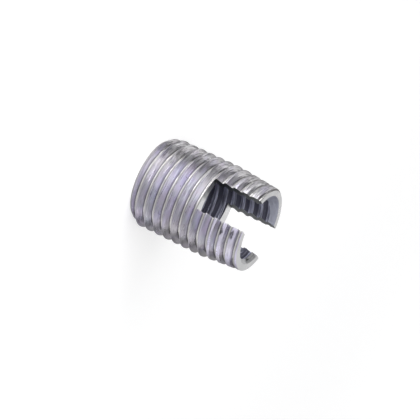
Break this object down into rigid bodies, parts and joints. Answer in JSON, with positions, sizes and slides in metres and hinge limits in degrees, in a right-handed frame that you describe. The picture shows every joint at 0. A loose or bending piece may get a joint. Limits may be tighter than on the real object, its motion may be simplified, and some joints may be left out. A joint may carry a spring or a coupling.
{
  "type": "slotted self-tapping threaded insert",
  "caption": "Short steel bush with a thread outside and a thread inside, a tapered lead end and a cutting slot straight across it.",
  "frame": {"origin": "centre of the flat end, on the surface that the insert stands on", "axes": "+Z along the bore from the flat end to the slotted end, +Y along the slot through both walls, +X towards one prong"},
  "size_m": [0.014, 0.014, 0.018],
  "materials": {
    "zinc_plate": "bright zinc plating with a clear bluish passivation, satin turned and cut surfaces"
  },
  "bodies": {
    "root": {"insert_body": "zinc_plate"}
  },
  "joints": []
}
